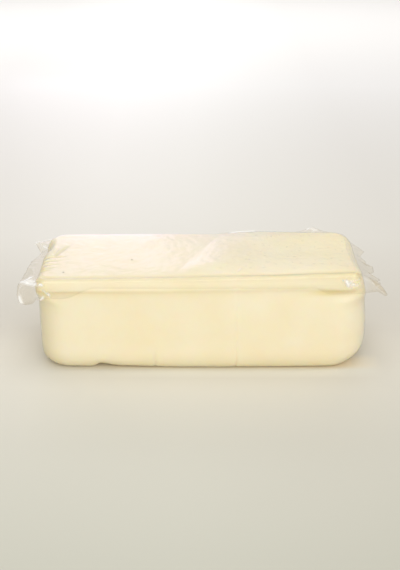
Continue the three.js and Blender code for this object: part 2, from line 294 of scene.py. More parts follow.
# Relief of the cheese under the tight film, in millimetres, but a furrow's low ridge in its own depth and
# width, and the faded ends of a wrinkle in its own length
TOP_RAMP = (84.0, 86.0)
TOP_BUMPS = ((30.0, 0.25), (11.0, 0.12), (5.0, 0.18), (2.6, 0.08))
WALL_WAVES = ((46.0, 0.30), (13.0, 0.08), (5.0, 0.03))
WALL_WAVE_SHIFT = 3.7
WALL_WAVE_RAMP = (0.0, 8.0)
FURROW_RIDGE = 0.5
FURROW_RIDGE_PLACE = 2.2
FURROW_RIDGE_WIDTH = 1.2
PLEAT_RAMP = (81.0, 83.0)
PLEAT_START = -134.0
PLEAT_FADE = (3.0, -7.0)
PLEAT_DEPTH = 1.0
PLEAT_WIDTH = 0.8
PLEATS = ((-7.0, 17.0), (-14.6, 14.0), (-22.5, 12.0), (-29.0, 11.0), (-33.7, 8.0))
WRINKLE_WIDTH = 0.8
WRINKLE_START_RAMP = (-0.15, 0.1)
WRINKLE_END_RAMP = (1.1, 0.6)
WRINKLES = (
    ((-127.5, -2.0), (-125.0, 14.0), 1.0),
    ((-126.5, -5.5), (-116.0, 20.0), 1.4),
    ((30.0, -48.0), (33.4, -40.1), -0.7),
)
STREAK_START = (-18.0, -39.0)
STREAK_END = (12.0, 33.0)
STREAK_RISE = 1.9
STREAK_WIDTH = 24.0
STREAK_POWER = 1.6
STREAK_FALL = (75.0, 22.0)
STREAK_FRONT_RAMP = (-56.0, -28.0)
FRONT_CREASES = ((-39.4, 0.9, 24.0), (29.0, 0.6, 24.0), (29.0, 0.35, 90.0))
FRONT_CREASE_RAMP = (-40.0, -48.0)
FRONT_CREASE_WIDTH = 0.8

# Free edge of the margin in millimetres: its height along the front, where it is folded down over the bead,
# and its corner points in order round the right end, the back and the left end
EDGE_HEIGHT = 77.3
EDGE_STAND_OFF = 1.9
EDGE_LEFT_DIP = 9.8
EDGE_LEFT_RAMP = (-87.0, -115.0)
EDGE_RIGHT_DIP = 5.6
EDGE_RIGHT_RAMP = (92.0, 106.0)
EDGE_NOTCH = 1.1
EDGE_NOTCH_BELL = (29.0, 2.0)
EDGE_CORNER = 10.0
EDGE_STEPS = 65
RIGHT_EDGE = (
    (133.5, -55.0, 72.5), (144.5, -55.5, 74.5), (151.5, -55.5, 70.0), (153.0, -54.0, 71.0),
    (144.0, -48.0, 76.5), (149.5, -41.0, 75.5), (147.0, -37.0, 75.5), (150.5, -31.0, 74.5),
    (143.0, -23.0, 76.5), (147.5, -16.0, 76.0), (147.5, -7.0, 77.0), (142.5, -1.0, 76.5),
    (143.0, 4.0, 77.0), (139.5, 13.0, 79.0), (144.0, 21.0, 80.5), (134.0, 38.0, 83.0),
)
BACK_EDGE = (
    (130.0, 50.0, 83.5), (121.0, 58.0, 84.0), (107.0, 63.0, 86.5), (101.5, 63.0, 88.5), (96.0, 63.0, 86.5),
    (85.0, 62.0, 84.0), (54.0, 60.0, 84.6), (48.0, 59.5, 86.4), (27.0, 58.0, 85.8), (3.0, 58.0, 82.0),
    (-124.0, 56.0, 79.0),
)
LEFT_EDGE = (
    (-133.0, 47.0, 83.0), (-150.5, 43.0, 81.0), (-144.0, 36.0, 73.0), (-148.0, 2.0, 78.0),
    (-151.0, -21.0, 76.0), (-153.0, -43.0, 75.0), (-153.0, -51.0, 69.0), (-151.0, -54.0, 63.5),
    (-145.5, -55.0, 62.0), (-139.5, -55.5, 63.5), (-136.5, -55.5, 67.0), (-133.0, -55.0, 66.0),
)

# Way of the margin from its root to its free edge: laps all round, how it folds over the bead, hangs and
# sags, and its crumples by size and share, in millimetres and shares
LAPS = 8.0
FOLD_POWER = 1.3
HANGING_RAMP = (0.97, 0.7)
ROOT_SINK = 0.25
FOLD_RISE = 0.6
SAG = 0.5
CRUMPLES = ((14.0, 1.0), (6.0, 0.35))
CRUMPLE_SHIFT = 11.3
CRUMPLE_RIDGE = 0.4
CRUMPLE_SLOPE = 2.0
CRUMPLE_RAMP = (0.0, 0.6)
CRUMPLE_ON_FRONT = 0.03

# Whitened creases of the film, which also paint its highlights and glints: start, end and half width in
# millimetres, and how white
FILM_CREASES_AND_HIGHLIGHTS = (
    ((-150.2, 43.0, 81.0), (-134.5, 46.8, 83.0), 2.0, 1.0),
    ((-141.7, 35.9, 79.7), (-138.4, 31.8, 79.2), 1.2, 0.8),
    ((-151.3, -37.7, 75.6), (-137.0, -52.3, 79.4), 1.6, 0.9),
    ((-148.3, -38.5, 76.7), (-143.2, -34.1, 78.2), 1.4, 1.0),
    ((-146.6, -39.3, 77.3), (-139.8, -44.8, 78.4), 3.0, 0.6),
    ((-151.0, -53.0, 68.5), (-149.0, -54.0, 63.5), 1.4, 1.0),
    ((-135.5, -53.9, 79.6), (-125.0, -54.4, 69.5), 0.55, 0.4),
    ((-133.0, -54.1, 79.8), (-131.2, -54.2, 79.6), 1.0, 0.7),
    ((-126.6, -54.4, 72.0), (-125.8, -54.4, 71.3), 0.7, 1.0),
    ((-133.3, -55.2, 65.4), (-130.7, -55.2, 69.1), 0.8, 1.0),
    ((97.0, 62.5, 88.0), (104.5, 62.0, 84.0), 1.7, 1.0),
    ((27.0, 58.0, 85.8), (48.0, 59.5, 86.4), 1.6, 1.0),
    ((116.3, -54.0, 83.8), (123.0, -54.0, 82.6), 0.6, 1.0),
    ((119.0, -55.0, 81.2), (125.0, -54.4, 80.4), 0.6, 1.0),
    ((120.0, -55.6, 78.3), (123.5, -55.2, 77.2), 0.6, 1.0),
    ((118.8, -54.3, 83.0), (120.8, -55.4, 78.8), 1.2, 1.0),
    ((122.0, -54.0, 82.3), (131.0, -50.0, 83.7), 0.45, 1.0),
    ((123.0, -54.5, 79.4), (130.3, -52.0, 79.2), 0.45, 1.0),
    ((30.0, -48.0, 86.2), (33.4, -41.0, 87.0), 0.7, 1.0),
)

# Whitened ridges of the crumples, partly painted highlights: how white, and within what share of the noise
RIDGE_WHITENESS_AND_HIGHLIGHT = 0.3
RIDGE_RAMP = (0.05, 0.0)

# Free edge of the margin, with a painted dark line for how its edge bends the light: its share of the rows,
# and how much of it shows in front
RIM_RAMP = (0.90, 1.0)
RIM_ON_FRONT = 0.3

# Dull film: rows below the rim over which the bead turns dull, how dull the walls and the top are, and the
# stretch of the top, in millimetres, over which it turns dull
DULL_ROWS = (6, 12)
DULL_WALL = 0.3
DULL_TOP = 0.9
DULL_TOP_RAMP = (10.0, 110.0)

# Gloss of the film, as shares: seen straight on, how sharply it grows towards grazing, and left where dull;
# and how white its creases and painted highlights are
LEAST_GLOSS = 0.045
GLOSS_POWER = 4.0
DULL_GLOSS = 0.5
CREASE_AND_HIGHLIGHT_WHITENESS = 0.9

# Stretch of the cheese's noise that its two colours span
MOTTLE_RANGE = (0.35, 0.75)

# Bubbles under the film: how thinly they lie at the left, where they thicken along the top and end across
# it, in millimetres, and their faces and form, in shares of the radius
BUBBLE_LEAST = 0.25
BUBBLE_X_RAMP = (-60.0, 40.0)
BUBBLE_EDGE_RAMP = (48.0, 36.0)
BUBBLE_SEGMENTS = 10
BUBBLE_RINGS = 6
BUBBLE_FLATNESS = 0.3
BUBBLE_SINK = 0.6
BUBBLE_LEAST_RADIUS = 0.35

# Specks on the top: place along and across the loaf and radius, in millimetres, and their form and tones, as
# shares
SPECKS = ((-115.0, -39.0, 0.75), (-59.4, -17.0, 0.8))
SPECK_FLATNESS = 0.5
SPECK_LUMPS = 0.35
SPECK_LUMP_SIZE = 0.8
SPECK_GRAIN = (0.3, 0.7)
SPECK_TONES = (0.6, 1.0)

# Marks that the meshes carry for their materials
# Painted shade and deeper tone of the cheese
SHADE_AND_TONE_MARK = "deep_fold"
SHADE_MARK = "shade"
HANGING_MARK = "hanging"
# Whitened creases and painted highlights of the film
CREASE_AND_HIGHLIGHT_MARK = "whitened"
BUBBLE_MARK = "bubbly"
DULL_MARK = "dull"
RIM_MARK = "rim"

# Steps of the grids: along a long side, round a corner and along an end, and rows from stretch to stretch,
# with those of the crown closer at its rim
LOAF_STEPS = (236, 12, 76)
MARGIN_STEPS = (280, 80, 140)
BOTTOM_ROWS = 5
BASE_ROWS = 10
WALL_ROWS = 34
BEAD_ROWS = 30
CROWN_ROWS = 34
CROWN_SPREAD = 1.3
HANG_ROWS = 26

# Widths in metres under which doubles, and slivers between the columns, are merged
DOUBLE = 0.000001
SLIVER = 0.0001

# Least length that a normal is divided by
LEAST_NORMAL = 1e-9


class Stations(NamedTuple):
    """Places round the loaf, anticlockwise from above: laps, a point of the inner rectangle, a normal."""

    lap: np.ndarray
    side_x: np.ndarray
    side_y: np.ndarray
    normal_x: np.ndarray
    normal_y: np.ndarray


class Loaf(NamedTuple):
    """The loaf's driving sizes in millimetres."""

    half_length: float
    half_depth: float
    height: float
    corner: float
    base: float
    base_right: float
    bow: float


def ramp(start, end, value):
    """Eased step from 0 to 1 between two values, in either direction."""
    share = np.clip((value - start) / (end - start), 0.0, 1.0)
    return share * share * (3 - 2 * share)


def hump(centre, width, value):
    """Bell of height 1."""
    return np.exp(-(((value - centre) / width) ** 2))


def blend(first, second, share):
    """Straight mix of two values."""
    return first + (second - first) * share


def soft_noise(points, size, shift=0.0):
    """Smooth noise of about -1 to 1 at points in millimetres, with lumps of the given size."""
    offset = Vector((shift, shift, shift))
    flat = points.reshape(-1, 3) / size
    values = [noise.noise(Vector(place) + offset) for place in flat.tolist()]
    return np.array(values).reshape(points.shape[:-1])


def loaf_sizes(scene):
    """Loaf sizes from the sidebar, in millimetres."""
    sizes = scene.cheese_loaf
    return Loaf(
        half_length=sizes.length / MM / 2,
        half_depth=sizes.depth / MM / 2,
        height=sizes.height / MM,
        corner=sizes.corner_radius / MM,
        base=sizes.base_radius / MM,
        base_right=sizes.base_radius_right / MM,
        bow=sizes.side_bow / MM,
    )


def outline_stations(steps):
    """Stations all the way round: front, right end, back and left end, each followed by its corner."""
    long, corner, end = steps
    laps, sides, normals = [], [], []
    for turn, count in enumerate((long, end, long, end)):
        turned = 1j**turn
        along, bend = np.arange(count) / count, np.arange(corner) / corner
        laps += [2 * turn + along, 2 * turn + 1 + bend]
        sides += [(2 * along - 1 - 1j) * turned, np.full(corner, (1 - 1j) * turned)]
        normals += [np.full(count, -1j * turned), -1j * turned * np.exp(0.5j * math.pi * bend)]
    lap, side, normal = (np.concatenate(parts) for parts in (laps, sides, normals))
    return Stations(lap, side.real, side.imag, normal.real, normal.imag)


def top_corner(stations):
    """Corner radius of the top, blended along the sides from corner to corner."""
    radius = np.zeros_like(stations.lap)
    for (side_x, side_y), corner in TOP_CORNERS.items():
        radius += corner * (1 + side_x * stations.side_x) * (1 + side_y * stations.side_y) / 4
    return radius


def plan_point(loaf, stations, out, radius):
    """Place so far out from a plan outline with the given corner radius, or with the least that fits."""
    radius = np.maximum(radius, LEAST_CORNER - out)
    x = stations.side_x * (loaf.half_length - radius) + stations.normal_x * (radius + out)
    y = stations.side_y * (loaf.half_depth - radius) + stations.normal_y * (radius + out)
    return x, y


def bowed(loaf, x):
    """How far a long wall bows out at a place along the loaf."""
    along = np.minimum(np.abs(x) / loaf.half_length, 1.0)
    return loaf.bow * (1 - along * along)


def tilt(loaf, x, y):
    """The top sinks towards the left of its front and rises towards the right, most at the rear."""
    front = TILT * (x / loaf.half_length) * ramp(*TILT_DEPTH_RAMP, y)
    rear = REAR_RISE + REAR_LIFT * ramp(*REAR_LIFT_X_RAMP, x)
    return front + rear * ramp(*REAR_LIFT_Y_RAMP, y)


def pinch(x, y):
    """Share of the pinch that draws the rear of the top's left edge in and down."""
    return ramp(*PINCH_START, y) * ramp(*PINCH_END, y) * ramp(*PINCH_X_RAMP, x)


def dent_lift(x, y, z):
    """Lift of the lower front edge at its dent, steep on the left and shallow on the right."""
    width = np.where(x < DENT_X, *DENT_WIDTHS)
    tail = DENT_TAIL * ramp(*DENT_TAIL_START, x) * ramp(*DENT_TAIL_END, x)
    lift = DENT_LIFT * hump(DENT_X, width, x) + tail
    return lift * ramp(*DENT_DEPTH_RAMP, y) * ramp(DENT_HEIGHT, 0, z)


def top_shift(stations, y):
    """The top is drawn in from both end walls, least at the front left corner."""
    left = blend(*TOP_LEFT_INSETS, ramp(*TOP_LEFT_RAMP, y))
    return -stations.normal_x * np.where(stations.normal_x < 0, left, TOP_RIGHT_INSET)


def loaf_row(loaf, stations, out, height):
    """Points round the loaf, so far out from its plan outline and so high."""
    height = np.broadcast_to(height, stations.lap.shape)
    radius = blend(loaf.corner, top_corner(stations), ramp(*TOP_CORNER_RAMP, height))
    plan_x, plan_y = plan_point(loaf, stations, out, radius)
    bulge = RIGHT_BULGE * hump(*RIGHT_BULGE_BELL, height)
    drawn = top_shift(stations, plan_y) * ramp(*TOP_SHIFT_RAMP, height)
    x = plan_x + drawn + np.maximum(stations.normal_x, 0) * bulge
    y = plan_y + np.sign(stations.side_y) * np.abs(stations.normal_y) * bowed(loaf, x)
    pinched = pinch(x, y) * ramp(*PINCH_HEIGHT_RAMP, height)
    tilted = tilt(loaf, x, y) * ramp(*TILT_HEIGHT_RAMP, height)
    z = height + tilted + dent_lift(x, y, height) - PINCH_SINK * pinched
    return np.stack([x + PINCH_IN * pinched, y, z], axis=1)


def front_share(stations):
    """1 along the front, eased away round its corners."""
    return np.maximum(-stations.normal_y, 0) ** 2


def spine_row(loaf, stations, height):
    """Points on the middle line that the base and the top run in to."""
    x = stations.side_x * (loaf.half_length - loaf.half_depth)
    return np.stack([x, np.zeros_like(x), np.zeros_like(x) + height], axis=1)


def smooth_profile(points, count):
    """Even steps along a smooth curve through profile points."""
    points = np.array(points)
    padded = np.concatenate([points[:1] * 2 - points[1:2], points, points[-1:] * 2 - points[-2:-1]])
    result = []
    for place in np.linspace(0, len(points) - 1, count):
        first = min(int(place), len(points) - 2)
        share = place - first
        before, start, end, after = padded[first : first + 4]
        bend = 2 * before - 5 * start + 4 * end - after
        twist = 3 * (start - end) + after - before
        result.append(start + 0.5 * share * (end - before + share * (bend + share * twist)))
    return result


def base_rows(loaf, stations, radius):
    """Rows from the middle of the base out to its edge and round it."""
    flat = loaf_row(loaf, stations, -FLAT_INSET, 0)
    middle = spine_row(loaf, stations, 0)
    rows = [blend(middle, flat, step / BOTTOM_ROWS) for step in range(BOTTOM_ROWS + 1)]
    for step in range(BASE_ROWS + 1):
        turn = step / BASE_ROWS * math.pi / 2
        rows.append(loaf_row(loaf, stations, -radius * (1 - math.sin(turn)), radius * (1 - math.cos(turn))))
    return rows


def side_rows(loaf, stations, radius):
    """Rows up the wall, over the bead or the plain top edge, to the rim of the top."""
    front = front_share(stations)
    plan_x, _ = plan_point(loaf, stations, 0, loaf.corner)
    gape = hump(*CREVICE_BELL, plan_x) * front
    inset = CREVICE_INSET * gape
    drop = CREVICE_DROP * gape + BEAD_SAG * hump(*BEAD_SAG_BELL, plan_x) * front
    rows = []
    for step in range(1, WALL_ROWS):
        share = step / WALL_ROWS
        out = (WALL_BULGE + FRONT_BULGE * front) * math.sin(math.pi * share)
        height = blend(radius, CREASE_HEIGHT - drop, share)
        rows.append(loaf_row(loaf, stations, out - inset * ramp(*CREVICE_WALL_RAMP, share), height))
    profiles = [smooth_profile(profile, BEAD_ROWS) for profile in (PLAIN_PROFILE, FRONT_PROFILE)]
    for plain, beaded in zip(*profiles):
        out, height = blend(plain[0], beaded[0], front), blend(plain[1], beaded[1], front)
        low = ramp(BEAD_MIDDLE_HEIGHT, CREASE_HEIGHT, height)
        tucked = ramp(BEAD_WIDEST_HEIGHT, CREASE_HEIGHT, height)
        rows.append(loaf_row(loaf, stations, out - inset * tucked, height - drop * low))
    return rows


def crown(loaf, x, y):
    """Share of the top's rise at a place, from none at its rim to all in its middle."""
    along = np.minimum(np.abs(x) / (loaf.half_length + RIM_OUT), 1)
    across = np.minimum(np.abs(y) / (loaf.half_depth + bowed(loaf, x) + RIM_OUT), 1)
    return (1 - along**CROWN_POWER) * (1 - across**CROWN_POWER)


def crown_rows(loaf, stations, rim):
    """Rows over the top, from its rim in to its middle line."""
    middle = spine_row(loaf, stations, loaf.height)
    rows = []
    for step in range(1, CROWN_ROWS + 1):
        row = blend(rim, middle, (step / CROWN_ROWS) ** CROWN_SPREAD)
        x, y = row[:, 0], row[:, 1]
        rise = (loaf.height - RIM_HEIGHT) * crown(loaf, x, y)
        row[:, 2] = RIM_HEIGHT + tilt(loaf, x, y) - PINCH_SINK * pinch(x, y) + rise
        rows.append(row)
    return rows


def loaf_grid(loaf, stations):
    """Rows of points from the middle of the base, up the side and in to the middle of the top."""
    plan_x, _ = plan_point(loaf, stations, 0, loaf.corner)
    radius = blend(loaf.base, loaf.base_right, ramp(*BASE_RADIUS_RAMP, plan_x))
    rows = base_rows(loaf, stations, radius) + side_rows(loaf, stations, radius)
    return np.stack(rows + crown_rows(loaf, stations, rows[-1]))


def grid_normals(grid):
    """Outward unit normals of a grid whose rows are loops run anticlockwise, stacked upwards or outwards."""
    round_way = np.roll(grid, -1, axis=1) - np.roll(grid, 1, axis=1)
    up_way = np.gradient(grid, axis=0)
    normals = np.cross(round_way, up_way)
    length = np.linalg.norm(normals, axis=2, keepdims=True)
    return normals / np.maximum(length, LEAST_NORMAL)


def loaf_normals(grid):
    """Outward unit normals of the loaf's grid, straight down on its base and straight up on its top."""
    normals = grid_normals(grid)
    normals[:BOTTOM_ROWS] = (0, 0, -1)
    normals[-CROWN_ROWS:] = (0, 0, 1)
    return normals


def valley(distance, width, depth):
    """A sharp furrow with a low ridge beside it."""
    ridge = FURROW_RIDGE * hump(FURROW_RIDGE_PLACE * width, FURROW_RIDGE_WIDTH * width, distance)
    return depth * (ridge - hump(0, width, distance))


def along_line(x, y, start, end):
    """How far along a line on the top a place lies, as a share of it, and how far to its left."""
    way = np.subtract(end, start)
    length = math.hypot(*way)
    run = ((x - start[0]) * way[0] + (y - start[1]) * way[1]) / length**2
    aside = ((y - start[1]) * way[0] - (x - start[0]) * way[1]) / length
    return run, aside


def pleat_relief(x, y):
    """Short pleats that run in from the left edge of the top."""
    relief = np.zeros_like(x)
    for place, length in PLEATS:
        end = PLEAT_START + length
        run = ramp(end + PLEAT_FADE[0], end + PLEAT_FADE[1], x)
        relief += valley(y - place, PLEAT_WIDTH, PLEAT_DEPTH) * run
    return relief


def wrinkle_relief(x, y):
    """Slanting wrinkles drawn towards the pinch, and a raised one across the groove in front."""
    relief = np.zeros_like(x)
    for start, end, depth in WRINKLES:
        run, aside = along_line(x, y, start, end)
        begun = valley(aside, WRINKLE_WIDTH, depth) * ramp(*WRINKLE_START_RAMP, run)
        relief += begun * ramp(*WRINKLE_END_RAMP, run)
    return relief


def streak_relief(x, y):
    """A slope to the right of a slanting line, which catches the light, and a slow fall beyond it."""
    _, aside = along_line(x, y, STREAK_START, STREAK_END)
    beyond = np.maximum(-aside, 0)
    still_to_rise = np.maximum(1 - beyond / STREAK_WIDTH, 0) ** STREAK_POWER
    faded = ramp(*STREAK_FALL, beyond) * ramp(*STREAK_FRONT_RAMP, y)
    return STREAK_RISE * (1 - still_to_rise) * faded


def loaf_relief(grid):
    """How far each point of the loaf stands out or in: bumps, waves, pleats, wrinkles and creases."""
    x, y, z = np.moveaxis(grid, 2, 0)
    on_top = ramp(*TOP_RAMP, z)
    relief = streak_relief(x, y) * on_top
    for size, height in TOP_BUMPS:
        relief += height * soft_noise(grid, size) * on_top
    for size, height in WALL_WAVES:
        waves = height * soft_noise(grid, size, WALL_WAVE_SHIFT)
        relief += waves * (1 - on_top) * ramp(*WALL_WAVE_RAMP, z)
    relief += (pleat_relief(x, y) + wrinkle_relief(x, y)) * ramp(*PLEAT_RAMP, z)
    for place, depth, height in FRONT_CREASES:
        faded = ramp(height, height / 2, z) * ramp(*FRONT_CREASE_RAMP, y) * (1 - on_top)
        relief -= depth * hump(place, FRONT_CREASE_WIDTH, x) * faded
    return relief


def packed_loaf(scene):
    """The loaf's grid with all its relief, and its normals."""
    grid = loaf_grid(loaf_sizes(scene), outline_stations(LOAF_STEPS))
    normals = loaf_normals(grid)
    grid = grid + normals * loaf_relief(grid)[..., None]
    grid[..., 2] = np.maximum(grid[..., 2], 0.0)
    return grid, loaf_normals(grid)


def groove_share(loaf, x, y, z):
    """How near a place is to the groove along the front."""
    behind = y + loaf.half_depth + bowed(loaf, x)
    return hump(*GROOVE_BELL, behind) * ramp(*PLEAT_RAMP, z)


def shade_and_tone(loaf, grid):
    """Painted shade in folds, under the bead and at the left end, and a deeper tone low down and to the
    right.
    """
    x, y, z = np.moveaxis(grid, 2, 0)
    crevice = hump(*CREVICE_BELL, x) * ramp(*CREVICE_TONE_LOW, z) * ramp(*CREVICE_TONE_HIGH, z)
    groove = GROOVE_TONE * groove_share(loaf, x, y, z)
    under = UNDER_TONE * hump(*UNDER_TONE_BELL, z) * ramp(*UNDER_TONE_RAMP, x)
    pinched = PINCH_TONE * pinch(x, y) * ramp(*PINCH_HEIGHT_RAMP, z)
    on_top = ramp(*TOP_RAMP, z)
    ends = blend(LEFT_TONE * ramp(*LEFT_TONE_RAMP, x), RIGHT_TONE * ramp(*RIGHT_TONE_RAMP, x), on_top)
    return np.where(y < 0, crevice + groove + under, pinched) + ends + BASE_TONE * ramp(*BASE_TONE_RAMP, z)


def painted_shade_share(loaf, grid):
    """How far painted shade dims the cheese: in the groove of the front, and low down."""
    x, y, z = np.moveaxis(grid, 2, 0)
    low_down = BASE_SHADE * hump(*BASE_SHADE_BELL, z)
    return GROOVE_SHADE * groove_share(loaf, x, y, z) + low_down


def front_edge(loaf):
    """Points of the free edge along the front, lower at both ends and notched at a crease."""
    x = np.linspace(-1, 1, EDGE_STEPS) * (loaf.half_length - EDGE_CORNER)
    dips = EDGE_LEFT_DIP * ramp(*EDGE_LEFT_RAMP, x) + EDGE_RIGHT_DIP * ramp(*EDGE_RIGHT_RAMP, x)
    z = EDGE_HEIGHT - dips + EDGE_NOTCH * hump(*EDGE_NOTCH_BELL, x)
    y = -(loaf.half_depth + bowed(loaf, x) + EDGE_STAND_OFF)
    return np.stack([x, y, z], axis=1)


def lap_of(loaf, x, y):
    """Laps round the outline of places outside it: along a side, or by angle round a corner."""
    long, deep = loaf.half_length - EDGE_CORNER, loaf.half_depth - EDGE_CORNER
    near_x, near_y = np.clip(x, -long, long), np.clip(y, -deep, deep)
    turns = (np.arctan2(y - near_y, x - near_x) / (math.pi / 2) + 1) % 4
    side = np.floor(turns)
    along = ((near_x / long + 1j * near_y / deep) * (-1j) ** side).real
    return 2 * side + (1 + along) / 2 + turns - side


def free_edge(loaf, stations):
    """Points of the margin's free edge at the stations."""
    points = np.concatenate([front_edge(loaf), RIGHT_EDGE, BACK_EDGE, LEFT_EDGE])
    laps = lap_of(loaf, points[:, 0], points[:, 1])
    return np.stack([np.interp(stations.lap, laps, column, period=LAPS) for column in points.T], axis=1)


def margin_rows(loaf, stations, folded):
    """Rows of the margin's middle surface, from its root in the groove or on the shoulder to its edge."""
    out, height = (blend(*ends, front_share(stations)) for ends in zip(SHOULDER, GROOVE))
    root = loaf_row(loaf, stations, out, height - ROOT_SINK)
    edge = free_edge(loaf, stations)
    fold = edge.copy()
    fold[:, 2] = root[:, 2] + FOLD_RISE
    rows = []
    for share in np.linspace(0, 1, HANG_ROWS):
        rest = 1 - share
        over_bead = rest**3 * root + 3 * share * rest * fold + share**3 * edge
        hanging = blend(root, edge, share) + np.array([0, 0, 4 * SAG * share * rest])
        rows.append(blend(hanging, over_bead, folded[:, None]))
    return np.stack(rows)


def margin_grid(loaf, stations, crumple):
    """Points of the crumpled margin, and how white its ridges are, partly as painted highlights."""
    folded = np.maximum(-stations.normal_y, 0) ** FOLD_POWER
    grid = margin_rows(loaf, stations, folded)
    grown = ramp(*CRUMPLE_RAMP, np.linspace(0, 1, HANG_ROWS))
    height = crumple * blend(1.0, CRUMPLE_ON_FRONT, folded) * grown[:, None]
    creases = np.zeros(grid.shape[:2])
    ridges = np.zeros(grid.shape[:2])
    for size, share in CRUMPLES:
        lumps = np.abs(soft_noise(grid, size, CRUMPLE_SHIFT))
        creases += share * (CRUMPLE_RIDGE - CRUMPLE_SLOPE * lumps)
        ridges = np.maximum(ridges, share * ramp(*RIDGE_RAMP, lumps))
    # Whitening of the ridges, partly painted highlights
    whitened = RIDGE_WHITENESS_AND_HIGHLIGHT * ridges * height / crumple
    return grid - grid_normals(grid) * (height * creases)[..., None], whitened


def hanging_share(stations):
    """1 where the margin hangs free and 0 along the front, where it lies on the bead."""
    return ramp(*HANGING_RAMP, -stations.normal_y)


def rim_share(hanging):
    """How near each row of the margin is to the free edge, less so along the front."""
    rows = ramp(*RIM_RAMP, np.linspace(0, 1, HANG_ROWS))
    return rows[:, None] * blend(RIM_ON_FRONT, 1.0, hanging)


def dull_share(grid):
    """How dull the film is: most on the bead, less on the walls, and on the top only towards the right."""
    rows = ramp(*DULL_ROWS, np.arange(BEAD_ROWS, 0, -1))
    dull = np.full(grid.shape[:2], DULL_WALL)
    dull[-CROWN_ROWS - BEAD_ROWS : -CROWN_ROWS] = rows[:, None]
    dull[-CROWN_ROWS:] = DULL_TOP * ramp(*DULL_TOP_RAMP, grid[-CROWN_ROWS:, :, 0])
    return dull


def crease_and_highlight_marks(grid):
    """How near each point of the film is to a line of whitened crease and painted highlight."""
    marks = np.zeros(grid.shape[:2])
    for start, end, width, white in FILM_CREASES_AND_HIGHLIGHTS:
        way = np.subtract(end, start)
        run = np.clip((grid - start) @ way / (way @ way), 0, 1)
        distance = np.linalg.norm(grid - start - run[..., None] * way, axis=2)
        marks = np.maximum(marks, white * hump(0, width, distance))
    return marks


def grid_faces(count_rows, count_columns, first, turned):
    """Quads between neighbouring rows of a looped grid."""
    faces = []
    for row in range(count_rows - 1):
        for column in range(count_columns):
            after = (column + 1) % count_columns
            low, high = first + row * count_columns, first + (row + 1) * count_columns
            quad = (low + column, low + after, high + after, high + column)
            faces.append(quad[::-1] if turned else quad)
    return faces


def new_piece(name, points, faces, material, marks=None, merge=DOUBLE):
    """A smooth mesh object at the origin from points in millimetres, with their marks and no doubles."""
    mesh = bpy.data.meshes.new(name)
    mesh.from_pydata((np.asarray(points).reshape(-1, 3) * MM).tolist(), [], faces)
    for mark, values in (marks or {}).items():
        mesh.attributes.new(mark, "FLOAT", "POINT").data.foreach_set("value", np.ravel(values))
    shape = bmesh.new()
    shape.from_mesh(mesh)
    bmesh.ops.remove_doubles(shape, verts=shape.verts, dist=merge)
    bmesh.ops.dissolve_degenerate(shape, edges=shape.edges, dist=DOUBLE)
    for face in shape.faces:
        face.smooth = True
    shape.to_mesh(mesh)
    shape.free()
    mesh.materials.append(material)
    piece = bpy.data.objects.new(name, mesh)
    bpy.context.scene.collection.objects.link(piece)
    return piece


def grid_piece(name, grid, material, marks, merge=DOUBLE):
    """A skin over a looped grid of points."""
    return new_piece(name, grid, grid_faces(*grid.shape[:2], 0, False), material, marks, merge)


def sheet_piece(name, grid, thickness, material, marks):
    """A thin closed sheet either side of a looped grid of points, with the grid's marks on both faces."""
    normals = grid_normals(grid)
    lower = grid + normals * thickness / 2
    upper = grid - normals * thickness / 2
    rows, columns = grid.shape[:2]
    count = rows * columns
    faces = grid_faces(rows, columns, 0, False) + grid_faces(rows, columns, count, True)
    for column in range(columns):
        after = (column + 1) % columns
        edge, edge_after = (rows - 1) * columns + column, (rows - 1) * columns + after
        faces.append((edge, edge_after, count + edge_after, count + edge))
        faces.append((count + column, count + after, after, column))
    both = {mark: np.tile(np.ravel(values), 2) for mark, values in marks.items()}
    return new_piece(name, np.concatenate([lower, upper]), faces, material, both)


class Tree:
    """Short way to add nodes to a tree and join them."""

    def __init__(self, tree):
        self.tree = tree

    def add(self, kind, settings=None, **links):
        """A new node with settings on it, and values or links on its inputs by name."""
        node = self.tree.nodes.new(kind)
        for key, value in (settings or {}).items():
            setattr(node, key, value)
        for key, value in links.items():
            self.put(node, key.replace("_", " "), value)
        return node

    def put(self, node, place, value):
        """Links a socket to a node's input, given by name or number, or sets the input's value."""
        socket = node.inputs[place]
        if isinstance(value, bpy.types.NodeSocket):
            self.tree.links.new(value, socket)
        else:
            socket.default_value = value

    def math(self, operation, first, second):
        """Result of a sum on two values or sockets."""
        node = self.add("ShaderNodeMath", {"operation": operation})
        self.put(node, 0, first)
        self.put(node, 1, second)
        return node.outputs[0]

    def times(self, first, second):
        """Product of two values or sockets."""
        return self.math("MULTIPLY", first, second)

    def mix_colour(self, share, first, second, way="MIX"):
        """Mix of two colours or sockets, in a given way."""
        # Inputs 6 and 7 and output 2 are those for colours
        node = self.add("ShaderNodeMix", {"data_type": "RGBA", "blend_type": way})
        for place, value in ((0, share), (6, first), (7, second)):
            self.put(node, place, value)
        return node.outputs[2]

    def mix_shader(self, share, first, second):
        """Mix of two shaders."""
        node = self.add("ShaderNodeMixShader")
        for place, value in ((0, share), (1, first), (2, second)):
            self.put(node, place, value)
        return node.outputs[0]

    def mark(self, name):
        """A mark that the mesh carries."""
        return self.add("ShaderNodeAttribute", {"attribute_name": name}).outputs["Fac"]

    def spread(self, value, low, high, start=0.0, end=1.0):
        """A value spread from one range to another."""
        ends = {"From_Min": low, "From_Max": high, "To_Min": start, "To_Max": end}
        node = self.add("ShaderNodeMapRange", Value=value, **ends)
        return node.outputs["Result"]


def new_material(name):
    """An empty node material, its tree helper, its output node and the place on the piece."""
    material = bpy.data.materials.new(name)
    material.use_nodes = True
    material.node_tree.nodes.clear()
    tree = Tree(material.node_tree)
    output = tree.add("ShaderNodeOutputMaterial")
    return material, tree, output, tree.add("ShaderNodeTexCoord").outputs["Object"]


